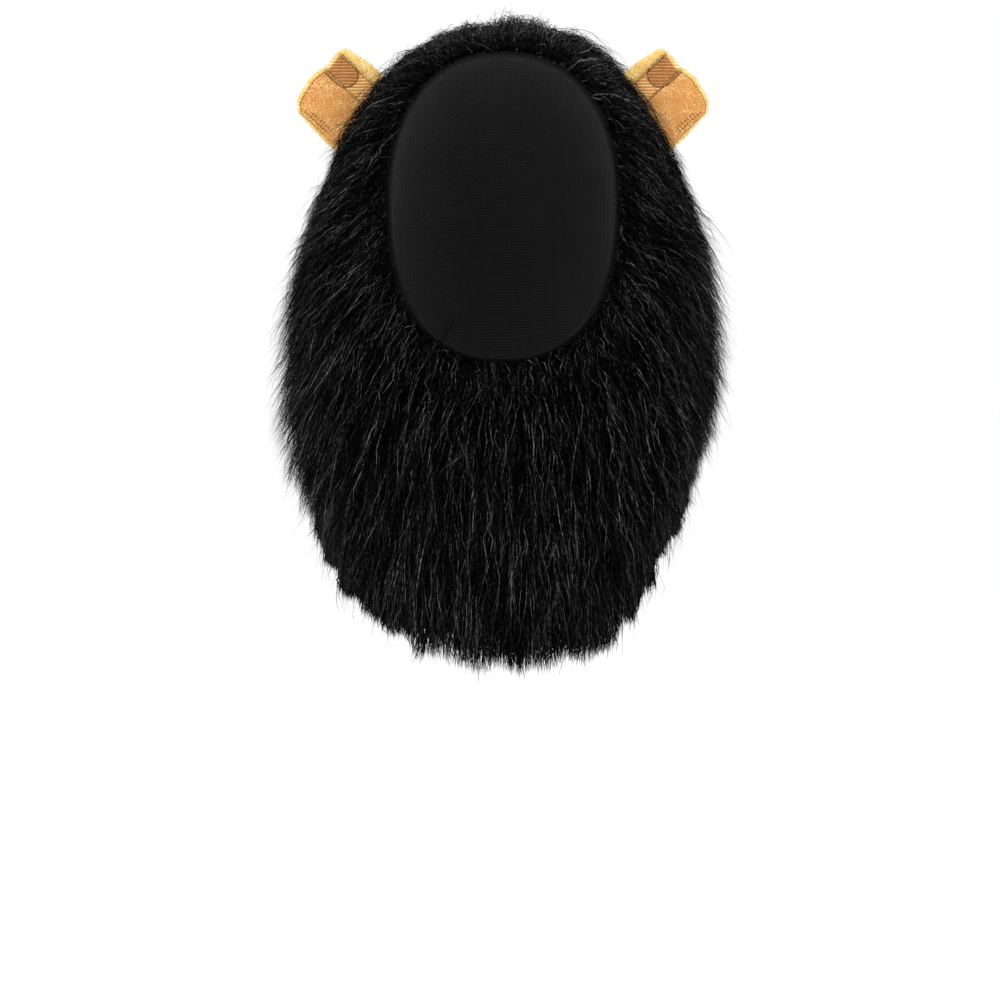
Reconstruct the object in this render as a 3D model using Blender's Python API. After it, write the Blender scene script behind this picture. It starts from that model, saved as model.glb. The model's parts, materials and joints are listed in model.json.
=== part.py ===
"""Lion mane wig for a large dog: a pull-over hood of knitted cloth, bent like an elbow from the face to
the neck, covered in long black fur, with an elastic hem at each opening and two cupped plush ears.

Metres, +Z up, the face looks along -Y. The origin is where the hood's inside rests on the crown.
"""

import math
import random
from collections import namedtuple

import bmesh
import bpy
from mathutils import Vector
from mathutils.bvhtree import BVHTree

# Openings and cloth
FACE_WIDTH = 0.160
CHIN_DROP = 0.232  # crown down to the chin edge
NECK_WIDTH = 0.218
HOOD_DEPTH = 0.235
NAPE_DROP = 0.255  # crown down to the nape edge
THROAT_LENGTH = 0.124  # chin edge down to the chest edge
CLOTH_WALL = 0.002
OVAL_POWER = 2.3  # 2 is an ellipse, and more is squarer
GAP = 0.0003  # left between any two pieces

# Elastic hems
HEM_WIDTH = 0.008
HEM_THICKNESS = 0.004
HEM_GATHER = 0.0006  # how far each gather stands out
HEM_ROUNDING = 0.6  # a hem's edges are this share as thick as its middle

# Fur
FUR_DEPTH = 0.052  # how far the locks stand off the cloth at the cheeks
LOCK_LENGTH = 0.100
LOCK_WIDTH = 0.044
LOCK_THICKNESS = 0.022
LOCK_VARIETY = 0.16  # share by which one lock's length differs from the next
FACE_LIP = 0.010  # the pile rolls this far in front of the face edge
FACE_LIP_DEPTH = 0.013  # and stands this far off the cloth there
NECK_LIP = 0.020  # the pile hangs this far past the neck edge
NECK_LIP_DEPTH = 0.016

# Ears
EAR_WIDTH = 0.061
EAR_HEIGHT = 0.058  # from the cloth to the tip
EAR_CUP = 0.011
EAR_WALL = 0.003
EAR_LINING = 0.002
EAR_PAD = 0.003  # how far the outer lining puffs up
EAR_RIM = 0.003  # how far the rolled edge stands above the back panel
EAR_LEAN = math.radians(47)  # from upright, outwards
EAR_STATION = 0.36
EAR_ANGLE = math.radians(58)
EAR_POCKET = 0.0012  # the fur keeps this far from the ear
EAR_SEAM = 0.0006  # left between two linings, and between the rolled edge and the inner patch

AROUND = 24  # facets round the hood
RINGS = 11  # rings from the face to the neck
HEM_SPLIT = 2  # facets of a hem to each facet of the hood
GATHER_FACETS = 4
LOCK_SEED = 5
SLIVER = 2e-6  # edges shorter than this are dissolved
SCRAP = 1e-8  # a body smaller than this, in cubic metres, is a scrap or trapped air

# The hood's sections from the face to the neck. crown_y and throat_y are shares of HOOD_DEPTH, crown_drop
# is a share of NAPE_DROP and throat_drop of THROAT_LENGTH, and swell goes from FACE_WIDTH to NECK_WIDTH.
HoodSection = namedtuple("HoodSection", "crown_y crown_drop throat_y throat_drop swell")
HOOD_SECTIONS = tuple(HoodSection(*row) for row in (
    (-0.306, 0.055, -0.247, 0.00, 0.00),
    (-0.149, 0.008, -0.262, 0.12, 0.40),
    (0.040, 0.000, -0.274, 0.26, 0.62),
    (0.247, 0.055, -0.285, 0.42, 0.78),
    (0.425, 0.204, -0.298, 0.58, 0.88),
    (0.545, 0.440, -0.315, 0.74, 0.95),
    (0.609, 0.714, -0.338, 0.88, 0.99),
    (0.638, 1.000, -0.362, 1.00, 1.00),
))

# How far the fur stands off the cloth, as shares of FUR_DEPTH, at the crown, the cheeks and the throat.
PileSection = namedtuple("PileSection", "station crown cheek throat")
PILE_SECTIONS = tuple(PileSection(*row) for row in (
    (0.00, 0.28, 0.52, 0.45),
    (0.15, 0.36, 0.58, 0.62),
    (0.35, 0.42, 0.68, 0.75),
    (0.60, 0.45, 0.95, 0.78),
    (0.80, 0.55, 0.95, 0.72),
    (1.00, 0.55, 0.75, 0.66),
))
BASE_SHARE = 0.55  # the pile base fills this share of the fur's depth under the locks
LOCK_ROOT = 0.6  # a lock starts at this share of the pile base's depth

# Tiers of locks: station along the hood, locks in the tier, and length and width as shares of
# LOCK_LENGTH and LOCK_WIDTH. Flow is the share of a lock's start that runs along the hood and not off it,
# and side is the length of the tier's locks at the hood's sides, as a share of that at the throat.
LockTier = namedtuple("LockTier", "station count length width flow side")
LOCK_TIERS = tuple(LockTier(*row) for row in (
    (0.04, 15, 0.60, 0.80, 0.45, 1.00),
    (0.20, 15, 0.80, 0.95, 0.48, 1.00),
    (0.38, 15, 0.92, 1.00, 0.50, 1.00),
    (0.57, 15, 0.98, 1.00, 0.55, 0.95),
    (0.76, 15, 1.00, 1.00, 0.65, 0.65),
    (0.95, 17, 0.95, 0.95, 0.85, 0.45),
))
LOCK_DROOP = 1.2  # how far a lock has turned downwards at its tip
SPINE_STEPS = 20

# A lock's outline: share of its length, and of its width and thickness there. It ends in a point.
LockSection = namedtuple("LockSection", "along width thickness")
LOCK_PROFILE = tuple(LockSection(*row) for row in (
    (0.00, 0.55, 0.70),
    (0.30, 1.00, 1.00),
    (0.62, 0.78, 0.80),
    (0.86, 0.36, 0.42),
))

# Round a lock: sideways and outwards, as shares of half its width and of its thickness.
LOCK_ROUND = ((-1.0, -0.15), (-0.5, 0.35), (0.5, 0.35), (1.0, -0.15), (0.0, -0.5))

# An ear from its lower edge to its upper one: across is a share of half EAR_WIDTH, cup a share of
# EAR_CUP, reach a share of EAR_HEIGHT.
EarSection = namedtuple("EarSection", "across cup reach")
EAR_SECTIONS = tuple(EarSection(*row) for row in (
    (-1.00, 0.50, 0.45),
    (-0.93, 0.42, 0.82),
    (-0.76, 0.30, 0.93),
    (-0.46, 0.18, 0.975),
    (-0.13, 0.08, 1.00),
    (0.15, 0.00, 0.98),
    (0.30, 0.00, 0.95),
    (0.60, 0.04, 0.97),
    (0.74, 0.20, 0.96),
    (0.88, 0.68, 0.92),
    (1.00, 1.00, 0.60),
))
EAR_ROWS = (0.0, 0.25, 0.5, 0.75, 0.92, 1.0)
EAR_LINING_START = -0.94
EAR_PLEAT = 0.20  # the lining ends here and the inner patch begins
EAR_RIM_START = 0.74
EAR_CLEARING = 0.6  # no lock grows near this share of the ear's height

FORWARD = Vector((0, -1, 0))
DOWN = Vector((0, 0, -1))
STEP = 0.01  # how far apart the slopes of the hood's surface are taken


def row_between(rows, key):
    """The row for a key between the first columns of a table's rows, in straight steps."""
    for low, high in zip(rows, rows[1:]):
        if key <= high[0]:
            break
    f = min(max((key - low[0]) / (high[0] - low[0]), 0.0), 1.0)
    return low._make(a + f * (b - a) for a, b in zip(low, high))


def smooth_row(rows, place):
    """The row at a place from 0 to 1 of an evenly spaced table, on a smooth curve that runs on past them."""
    last = len(rows) - 1
    i = min(max(int(place * last), 0), last - 1)
    f = place * last - i

    def row(k):
        if k < 0:
            return [2 * a - b for a, b in zip(rows[0], rows[1])]
        if k > last:
            return [2 * a - b for a, b in zip(rows[last], rows[last - 1])]
        return rows[k]

    found = []
    for a, b, c, d in zip(row(i - 1), row(i), row(i + 1), row(i + 2)):
        bend = 2 * a - 5 * b + 4 * c - d
        twist = 3 * b - a - 3 * c + d
        found.append(b + 0.5 * f * (c - a + f * (bend + f * twist)))
    return rows[0]._make(found)


def cloth_point(station, angle):
    """A point of the cloth's inside. Angle 0 is the crown, a quarter turn +X and a half turn the throat."""
    row = smooth_row(HOOD_SECTIONS, station)
    crown = Vector((0, row.crown_y * HOOD_DEPTH, -row.crown_drop * NAPE_DROP))
    throat = Vector((0, row.throat_y * HOOD_DEPTH, -CHIN_DROP - row.throat_drop * THROAT_LENGTH))
    half_width = (FACE_WIDTH + row.swell * (NECK_WIDTH - FACE_WIDTH)) / 2
    rise = math.copysign(abs(math.cos(angle)) ** (2 / OVAL_POWER), math.cos(angle))
    spread = math.copysign(abs(math.sin(angle)) ** (2 / OVAL_POWER), math.sin(angle))
    return (crown + throat) / 2 + (crown - throat) / 2 * rise + Vector((half_width * spread, 0, 0))


def cloth_slopes(station, angle):
    """Unit vectors at a point of the cloth: along the hood to the neck, and straight off its outside."""
    along = (cloth_point(station + STEP, angle) - cloth_point(station - STEP, angle)).normalized()
    around = (cloth_point(station, angle + STEP) - cloth_point(station, angle - STEP)).normalized()
    return along, around.cross(along).normalized()


def off_cloth(station, angle, off, beyond=0.0):
    """A point that stands off the cloth's inside, moved on along the hood towards the neck."""
    along, out = cloth_slopes(station, angle)
    return cloth_point(station, angle) + out * off + along * beyond


def fur_depth(station, angle):
    """How far the fur's surface stands off the cloth."""
    row = row_between(PILE_SECTIONS, station)
    end = row.crown if math.cos(angle) > 0 else row.throat
    return FUR_DEPTH * (row.cheek + (end - row.cheek) * math.cos(angle) ** 2)


def make_material(name, colour, roughness):
    material = bpy.data.materials.new(name)
    material.use_nodes = True
    shader = material.node_tree.nodes["Principled BSDF"]
    shader.inputs["Base Color"].default_value = (*colour, 1)
    shader.inputs["Roughness"].default_value = roughness
    shader.inputs["Metallic"].default_value = 0.0
    return material


def add_body(target, rings, ends=None):
    """Adds one closed body to a bmesh: rings of points joined in turn, closed by a point at each end or
    else joined last to first."""
    rows = [[target.verts.new(point) for point in ring] for ring in rings]
    count = len(rows[0])
    faces = []
    pairs = list(zip(rows, rows[1:]))
    if ends is None:
        pairs.append((rows[-1], rows[0]))
    for low, high in pairs:
        for i in range(count):
            j = (i + 1) % count
            faces.append(target.faces.new((low[i], low[j], high[j])))
            faces.append(target.faces.new((low[i], high[j], high[i])))
    if ends is not None:
        for row, point in zip((rows[0], rows[-1]), ends):
            tip = target.verts.new(point)
            for i in range(count):
                faces.append(target.faces.new((row[i], row[(i + 1) % count], tip)))
    bmesh.ops.recalc_face_normals(target, faces=faces)


def add_object(name, source, material=None):
    mesh = bpy.data.meshes.new(name)
    source.to_mesh(mesh)
    source.free()
    mesh.shade_smooth()
    if material is not None:
        mesh.materials.append(material)
    thing = bpy.data.objects.new(name, mesh)
    bpy.context.scene.collection.objects.link(thing)
    return thing


def bodies(source):
    """The faces of each separate body in a bmesh."""
    left = set(source.faces)
    found = []
    while left:
        waiting = [left.pop()]
        body = []
        while waiting:
            face = waiting.pop()
            body.append(face)
            for near in {other for edge in face.edges for other in edge.link_faces} & left:
                left.remove(near)
                waiting.append(near)
        found.append(body)
    return found


def volume(faces):
    return sum(a.co.dot(b.co.cross(c.co)) for a, b, c in (face.verts for face in faces)) / 6


def bake_cuts(thing):
    """Applies an object's modifiers, and leaves out slivers, scraps and air trapped between locks."""
    graph = bpy.context.evaluated_depsgraph_get()
    source = bmesh.new()
    source.from_mesh(thing.evaluated_get(graph).data)
    thing.modifiers.clear()
    bmesh.ops.triangulate(source, faces=source.faces)
    bmesh.ops.dissolve_degenerate(source, dist=SLIVER, edges=source.edges)
    bmesh.ops.triangulate(source, faces=source.faces)
    scraps = [face for body in bodies(source) if volume(body) < SCRAP for face in body]
    bmesh.ops.delete(source, geom=scraps, context="FACES")
    source.to_mesh(thing.data)
    source.free()
    thing.data.shade_smooth()


def middle(points):
    return sum(points, Vector()) / len(points)


def hood_rings(off_by):
    """Rings round the hood from the face to the neck, off_by(station, angle) off the cloth's inside."""
    angles = [2 * math.pi * i / AROUND for i in range(AROUND)]
    stations = [i / (RINGS - 1) for i in range(RINGS)]
    return [[off_cloth(s, a, off_by(s, a)) for a in angles] for s in stations]


def edge_ring(station, off, beyond, forward=0.0):
    """A ring just past the hood's edge at station 0 or 1."""
    angles = [2 * math.pi * i / AROUND for i in range(AROUND)]
    return [off_cloth(station, a, off, beyond) + FORWARD * forward for a in angles]


def make_hood(material):
    source = bmesh.new()
    outside = hood_rings(lambda s, a: CLOTH_WALL)
    inside = hood_rings(lambda s, a: 0.0)
    add_body(source, outside + inside[::-1])
    return add_object("hood_backing", source, material)


def make_hem(name, station, sign, material):
    """A gathered band past one edge of the cloth. Sign is -1 at the face edge and 1 at the neck edge."""
    source = bmesh.new()
    mid = CLOTH_WALL / 2
    near = sign * GAP
    far = sign * (GAP + HEM_WIDTH)
    centre = (near + far) / 2
    rings = []
    for i in range(AROUND * HEM_SPLIT):
        facet, part = divmod(i, HEM_SPLIT)
        start = 2 * math.pi * facet / AROUND
        end = 2 * math.pi * (facet + 1) / AROUND
        half = HEM_THICKNESS / 2 + HEM_GATHER * math.sin(2 * math.pi * i / GATHER_FACETS)
        edge = half * HEM_ROUNDING
        shape = ((near, mid - edge), (centre, mid - half), (far, mid - edge),
                 (far, mid + edge), (centre, mid + half), (near, mid + edge))
        here = [off_cloth(station, start, off, beyond) for beyond, off in shape]
        there = [off_cloth(station, end, off, beyond) for beyond, off in shape]
        rings.append([a.lerp(b, part / HEM_SPLIT) for a, b in zip(here, there)])
    add_body(source, rings)
    return add_object(name, source, material)


def lock_rings(tier, angle, length, sweep):
    """Rings and end points of one lock, which starts off the cloth, runs back along it and droops."""
    along, out = cloth_slopes(tier.station, angle)
    side = along.cross(out)
    depth = fur_depth(tier.station, angle)
    lift = depth / FUR_DEPTH
    heading = (along * tier.flow + out * (1 - tier.flow) * lift + side * sweep).normalized()
    spine = [cloth_point(tier.station, angle) + out * depth * BASE_SHARE * LOCK_ROOT]
    for i in range(SPINE_STEPS):
        turned = (heading + DOWN * LOCK_DROOP * i / SPINE_STEPS).normalized()
        spine.append(spine[-1] + turned * length / SPINE_STEPS)
    rings = []
    for row in LOCK_PROFILE:
        i = round(row.along * SPINE_STEPS)
        forward = (spine[i + 1] - spine[max(i - 1, 0)]).normalized()
        across = forward.cross(out).normalized()
        off = across.cross(forward) * LOCK_THICKNESS * row.thickness * (1 + lift) / 2
        half = LOCK_WIDTH * tier.width * row.width / 2
        rings.append([spine[i] + across * half * x + off * z for x, z in LOCK_ROUND])
    return rings, (spine[0], spine[-1])


def make_fur(cutters, ears, material):
    """The pile base with its locks, fused, and cut clear of the hood, the hems and the ears. Ears are the
    places of their middles, where no lock grows."""
    source = bmesh.new()
    rings = [edge_ring(0.0, FACE_LIP_DEPTH, -FACE_LIP)]
    rings += hood_rings(lambda s, a: fur_depth(s, a) * BASE_SHARE)
    rings += [edge_ring(1.0, NECK_LIP_DEPTH, NECK_LIP)]
    add_body(source, rings, (middle(rings[0]), middle(rings[-1])))
    dice = random.Random(LOCK_SEED)
    for index, tier in enumerate(LOCK_TIERS):
        stagger = 0.5 * (index % 2)
        for i in range(tier.count):
            angle = 2 * math.pi * (i + stagger) / tier.count
            trim = 1 - (1 - tier.side) * math.sin(angle) ** 4
            vary = 1 + LOCK_VARIETY * dice.uniform(-1, 1)
            sweep = LOCK_VARIETY * dice.uniform(-1, 1)
            rings, ends = lock_rings(tier, angle, LOCK_LENGTH * tier.length * trim * vary, sweep)
            if all((middle(ring) - ear).length > EAR_WIDTH / 2 for ring in rings for ear in ears):
                add_body(source, rings, ends)
    fur = add_object("mane_fur", source, material)
    for index, cutter in enumerate(cutters):
        cut = fur.modifiers.new(f"cut_{index}", "BOOLEAN")
        cut.operation = "DIFFERENCE"
        cut.use_self = index == 0
        cut.object = cutter
    bake_cuts(fur)
    return fur


def hide_cutter(thing):
    thing.hide_render = True
    thing.display_type = "WIRE"
    return thing


def make_plug():
    """A cutter that fills the hood and runs out of both openings."""
    source = bmesh.new()
    clear = CLOTH_WALL / 2 + HEM_THICKNESS / 2 + HEM_GATHER + GAP
    rings = [edge_ring(0.0, clear, 0.0, FACE_WIDTH / 2), edge_ring(0.0, clear, 0.0, GAP)]
    rings += hood_rings(lambda s, a: CLOTH_WALL + GAP)
    rings += [edge_ring(1.0, clear, GAP), edge_ring(1.0, clear, LOCK_LENGTH + NECK_LIP)]
    add_body(source, rings, (middle(rings[0]), middle(rings[-1])))
    return hide_cutter(add_object("hood_plug", source))


class Ear:
    """One ear's place and its panels. Side is -1 for the left ear and 1 for the right."""

    def __init__(self, side, hood):
        angle = side * EAR_ANGLE
        self.seat = off_cloth(EAR_STATION, angle, CLOTH_WALL)
        self.up = Vector((side * math.sin(EAR_LEAN), 0, math.cos(EAR_LEAN)))
        self.across = Vector((-side * math.cos(EAR_LEAN), 0, math.sin(EAR_LEAN)))
        corners = [vertex.co for vertex in hood.data.vertices]
        self.cloth = BVHTree.FromPolygons(corners, [face.vertices for face in hood.data.polygons])

    def point(self, across, rise, off):
        """A point of the ear: rise is a share of the way from the cloth to the ear's upper edge."""
        half = EAR_WIDTH / 2
        row = row_between(EAR_SECTIONS, across)
        before = row_between(EAR_SECTIONS, across - STEP)
        after = row_between(EAR_SECTIONS, across + STEP)
        slope = (after.cup - before.cup) * EAR_CUP / (2 * STEP * half)
        out = (FORWARD - self.across * slope).normalized()
        foot = self.seat + self.across * half * across + FORWARD * EAR_CUP * row.cup + out * off
        high = foot + self.up * EAR_HEIGHT * row.reach
        low = self.cloth.ray_cast(high, -self.up)[0] + self.up * 2 * GAP
        return low.lerp(high, rise)

    def panel(self, name, start, end, low, high, material=None, margin=0.0):
        """A closed panel from start to end across the ear, between two heights off its middle surface.
        Low and high give a height from the place across and the share of the way up. A margin makes the
        panel longer at its foot and at its tip."""
        inner = [row.across for row in EAR_SECTIONS if start < row.across < end]
        rings = []
        for across in [start, *inner, end]:
            front = [self.point(across, rise, high(across, rise)) for rise in EAR_ROWS]
            back = [self.point(across, rise, low(across, rise)) for rise in EAR_ROWS]
            for row in (front, back):
                row[0] = row[0] - self.up * margin
                row[-1] = row[-1] + self.up * margin
            rings.append(front + back[::-1])
        source = bmesh.new()
        add_body(source, rings, (middle(rings[0]), middle(rings[-1])))
        return add_object(name, source, material)


def arch(start, end, place):
    """From 0 at start and end to 1 halfway, and 0 outside them."""
    share = (place - start) / (end - start)
    return math.sin(math.pi * min(max(share, 0.0), 1.0))


def rim_height(across, rise):
    return EAR_WALL / 2 + EAR_RIM * arch(EAR_RIM_START, 1, across)


def make_ear(ear, word, materials):
    """Builds one ear's three panels and returns the cutter that keeps the fur clear of them."""
    back_colour, lining_colour, inner_colour = materials
    seam = EAR_SEAM / (EAR_WIDTH / 2)
    lining_end = EAR_PLEAT - seam
    under = EAR_WALL / 2 + GAP
    over = under + EAR_LINING

    def lining_top(across, rise):
        return over + EAR_PAD * arch(EAR_LINING_START, lining_end, across) * arch(0, 1, rise)

    ear.panel(f"{word}_ear_back", -1, 1, lambda u, v: -EAR_WALL / 2, rim_height, back_colour)
    ear.panel(f"{word}_ear_lining", EAR_LINING_START, lining_end, lambda u, v: under, lining_top,
              lining_colour)
    ear.panel(f"{word}_ear_inner", EAR_PLEAT + seam, EAR_RIM_START - seam, lambda u, v: under,
              lambda u, v: over, inner_colour)
    edge = 1 + EAR_POCKET / (EAR_WIDTH / 2)
    bottom = -EAR_WALL / 2 - EAR_POCKET
    top = over + EAR_PAD + EAR_POCKET
    pocket = ear.panel(f"{word}_ear_pocket", -edge, edge, lambda u, v: bottom, lambda u, v: top,
                       margin=2 * EAR_POCKET)
    return hide_cutter(pocket)


def main():
    for old in list(bpy.data.objects):
        bpy.data.objects.remove(old, do_unlink=True)
    knit = make_material("black_knit", (0.012, 0.012, 0.013), 0.85)
    elastic = make_material("black_elastic", (0.016, 0.016, 0.017), 0.75)
    fur_black = make_material("black_fur", (0.006, 0.006, 0.006), 0.5)
    plush = make_material("yellow_plush", (0.80, 0.60, 0.30), 0.85)
    tan = make_material("tan_plush", (0.76, 0.44, 0.16), 0.85)
    brown = make_material("brown_plush", (0.46, 0.20, 0.06), 0.85)
    hood = make_hood(knit)
    make_hem("face_hem", 0.0, -1, elastic)
    make_hem("neck_hem", 1.0, 1, elastic)
    cutters = [make_plug()]
    ears = []
    for side, word in ((-1, "left"), (1, "right")):
        ear = Ear(side, hood)
        ears.append(ear.point(0, EAR_CLEARING, 0))
        cutters.append(make_ear(ear, word, (plush, tan, brown)))
    make_fur(cutters, ears, fur_black)


main()
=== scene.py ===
# %% [markdown]
# # A lion mane wig in long black faux fur
# The wig is a pull-over hood of stretch knit. Long pile covers it all over, an elastic hem gathers the
# face edge and the neck edge, and two cupped plush ears are sewn on near the crown. The solids of the
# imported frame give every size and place. This script dresses them: strands for the fur, plush for the
# ears, knit for the cloth.

# %% Load the frame
import json
import math

import bpy
import numpy as np
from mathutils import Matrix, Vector
from mathutils.bvhtree import BVHTree

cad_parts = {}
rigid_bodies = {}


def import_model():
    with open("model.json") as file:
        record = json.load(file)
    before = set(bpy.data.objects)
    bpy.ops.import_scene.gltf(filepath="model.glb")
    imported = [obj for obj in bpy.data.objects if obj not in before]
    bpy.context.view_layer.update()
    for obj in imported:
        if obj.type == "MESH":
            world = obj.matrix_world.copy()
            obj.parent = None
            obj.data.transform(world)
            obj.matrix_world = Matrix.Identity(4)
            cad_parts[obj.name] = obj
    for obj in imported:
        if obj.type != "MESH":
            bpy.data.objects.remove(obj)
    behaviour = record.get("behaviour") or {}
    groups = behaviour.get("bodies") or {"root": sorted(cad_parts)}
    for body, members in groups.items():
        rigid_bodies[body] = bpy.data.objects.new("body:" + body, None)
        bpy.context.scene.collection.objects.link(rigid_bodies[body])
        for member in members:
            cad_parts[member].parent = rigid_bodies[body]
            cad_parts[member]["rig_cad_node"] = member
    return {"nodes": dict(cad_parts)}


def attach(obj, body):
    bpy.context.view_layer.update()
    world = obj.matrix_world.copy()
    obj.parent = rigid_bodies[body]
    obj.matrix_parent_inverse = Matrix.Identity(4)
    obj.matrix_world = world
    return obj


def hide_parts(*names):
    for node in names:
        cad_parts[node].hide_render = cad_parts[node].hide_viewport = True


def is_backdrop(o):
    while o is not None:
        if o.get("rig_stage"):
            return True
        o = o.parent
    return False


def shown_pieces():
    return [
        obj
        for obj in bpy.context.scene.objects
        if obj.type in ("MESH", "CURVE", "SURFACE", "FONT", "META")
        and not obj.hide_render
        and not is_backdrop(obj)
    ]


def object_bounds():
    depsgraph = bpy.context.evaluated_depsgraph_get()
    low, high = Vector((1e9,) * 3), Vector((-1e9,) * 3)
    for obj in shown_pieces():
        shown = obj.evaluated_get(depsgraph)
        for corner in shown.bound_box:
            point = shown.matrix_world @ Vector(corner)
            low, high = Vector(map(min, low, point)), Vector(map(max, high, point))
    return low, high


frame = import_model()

cad_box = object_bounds()
print("solid box, mm:", [[round(c * 1000) for c in corner] for corner in cad_box])

# %% [markdown]
# ## Camera and stage
# The wig was photographed from the front with a long lens, a little above its middle. A camera 3 m away
# with a narrow view gives the same flat perspective. Its height and target are the real places that
# the photograph's horizon and middle have on the wig. The floor is a plain pale sheet, low enough to
# stay clear of the wig, which a head would hold up.

# %% Camera
PHOTO_PIXEL = 0.0007  # metres for each pixel of the 1000 pixel photograph
FRAME_SIZE = 1000 * PHOTO_PIXEL
SENSOR = 36.0
CAMERA_PLACE = Vector((-0.002, -3.0, -0.195))
CAMERA_TARGET = Vector((-0.002, 0.0, -0.3206))

camera_data = bpy.data.cameras.new("camera")
camera = bpy.data.objects.new("camera", camera_data)
bpy.context.scene.collection.objects.link(camera)
camera.location = CAMERA_PLACE
sight = CAMERA_TARGET - CAMERA_PLACE
camera.rotation_euler = sight.to_track_quat("-Z", "Y").to_euler()
camera_data.sensor_width = SENSOR
camera_data.lens = SENSOR * sight.length / FRAME_SIZE
bpy.context.scene.camera = camera
print("lens, mm:", round(camera_data.lens, 1))


# %% [markdown]
# ## Colours and shader nodes
# A colour listed here is an sRGB value, and a shader wants linear light, so one function converts.
# Another adds a node, sets it and links its sockets, which keeps each material short enough to read.

# %% Colours and nodes
def colour(hex_value):
    """Linear RGBA of an sRGB hex value such as #1a2b3c."""
    parts = [int(hex_value[i:i + 2], 16) / 255 for i in (1, 3, 5)]
    return (*[c / 12.92 if c <= 0.04045 else ((c + 0.055) / 1.055) ** 2.4 for c in parts], 1.0)


def add(material, kind, inputs=None, **settings):
    """Adds a node. Inputs maps a socket to a value, or to another node and its output."""
    tree = material.node_tree
    made = tree.nodes.new("ShaderNode" + kind)
    for name, value in settings.items():
        setattr(made, name, value)
    for socket, value in (inputs or {}).items():
        if isinstance(value, tuple) and isinstance(value[0], bpy.types.Node):
            tree.links.new(value[0].outputs[value[1]], made.inputs[socket])
        else:
            made.inputs[socket].default_value = value
    return made


def new_material(name, **surface):
    """A material and its Principled shader, with values on the shader's own sockets."""
    material = bpy.data.materials.new(name)
    material.use_nodes = True
    shader = material.node_tree.nodes["Principled BSDF"]
    for socket, value in surface.items():
        shader.inputs[socket.replace("_", " ")].default_value = value
    return material, shader


def link(material, source, output, target, socket):
    material.node_tree.links.new(source.outputs[output], target.inputs[socket])


# %% [markdown]
# ## Floor and light
# Black fur shows its form only through thin highlights, so the light is soft and comes mostly from
# above and the front left, with a broad light behind the crown that greys its outermost strands. A
# white world keeps the background plain and pale.

# %% Floor and light
FLOOR_DROP = 0.22  # the floor lies this far under the wig
FLOOR_SIZE = 60.0

floor_mesh = bpy.data.meshes.new("floor")
half = FLOOR_SIZE / 2
floor_height = cad_box[0].z - FLOOR_DROP
floor_plan = ((-half, -half), (half, -half), (half, half), (-half, half))
floor_mesh.from_pydata([(x, y, floor_height) for x, y in floor_plan], [], [(0, 1, 2, 3)])
floor = bpy.data.objects.new("floor", floor_mesh)
bpy.context.scene.collection.objects.link(floor)
paper, paper_shader = new_material("matt_white_paper", Base_Color=colour("#ffffff"), Roughness=0.9)
floor_mesh.materials.append(paper)
floor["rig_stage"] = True

world = bpy.data.worlds.new("white_room")
world.use_nodes = True
world.node_tree.nodes["Background"].inputs["Color"].default_value = colour("#ffffff")
world.node_tree.nodes["Background"].inputs["Strength"].default_value = 1.0
bpy.context.scene.world = world

LIGHTS = (
    # name, place, size, watts
    ("key_light", (-1.3, -1.9, 1.5), 1.2, 26.0),
    ("fill_light", (1.6, -1.8, 0.3), 1.4, 9.0),
    ("crown_light", (0.2, 1.1, 1.5), 0.9, 30.0),
)
for name, place, size, watts in LIGHTS:
    data = bpy.data.lights.new(name, "AREA")
    data.size = size
    data.energy = watts
    lamp = bpy.data.objects.new(name, data)
    lamp.location = place
    aim = Vector((0, 0.02, -0.2)) - Vector(place)
    lamp.rotation_euler = aim.to_track_quat("-Z", "Y").to_euler()
    bpy.context.scene.collection.objects.link(lamp)
bpy.context.scene.view_settings.view_transform = "Standard"

# %% [markdown]
# ## The hood's shape
# The hood is an oval tube, bent like an elbow: its front edge frames the face and its lower edge goes
# round the neck. A place on it is a station, from 0 at the face edge to 1 at the neck edge, and an
# angle, 0 at the crown and half a turn at the throat. Everything grows from this one surface, so it is
# written once, for whole arrays of places at a time.

# %% The hood's surface
FACE_WIDTH = 0.160
CHIN_DROP = 0.232
NECK_WIDTH = 0.218
HOOD_DEPTH = 0.235
NAPE_DROP = 0.255
THROAT_LENGTH = 0.124
OVAL_POWER = 2.3
CLOTH_WALL = 0.002
GAP = 0.0003

# Columns: crown y, crown drop, throat y, throat drop and swell, as shares of the sizes above.
HOOD_SECTIONS = np.array((
    (-0.306, 0.055, -0.247, 0.00, 0.00),
    (-0.149, 0.008, -0.262, 0.12, 0.40),
    (0.040, 0.000, -0.274, 0.26, 0.62),
    (0.247, 0.055, -0.285, 0.42, 0.78),
    (0.425, 0.204, -0.298, 0.58, 0.88),
    (0.545, 0.440, -0.315, 0.74, 0.95),
    (0.609, 0.714, -0.338, 0.88, 0.99),
    (0.638, 1.000, -0.362, 1.00, 1.00),
))
SLOPE_STEP = 0.01


def unit(vectors):
    return vectors / np.maximum(np.linalg.norm(vectors, axis=-1, keepdims=True), 1e-12)


def signed_power(values, power):
    return np.sign(values) * np.abs(values) ** power


def hood_row(station):
    """The section at each station, on a smooth curve through the table."""
    rows = HOOD_SECTIONS
    longer = np.vstack([2 * rows[0] - rows[1], rows, 2 * rows[-1] - rows[-2]])
    place = np.asarray(station, float) * (len(rows) - 1)
    i = np.clip(place.astype(int), 0, len(rows) - 2)
    f = (place - i)[..., None]
    a, b, c, d = (longer[i + k] for k in range(4))
    found = b + 0.5 * f * (c - a + f * ((2 * a - 5 * b + 4 * c - d) + f * (3 * b - a - 3 * c + d)))
    return np.moveaxis(found, -1, 0)


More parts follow.
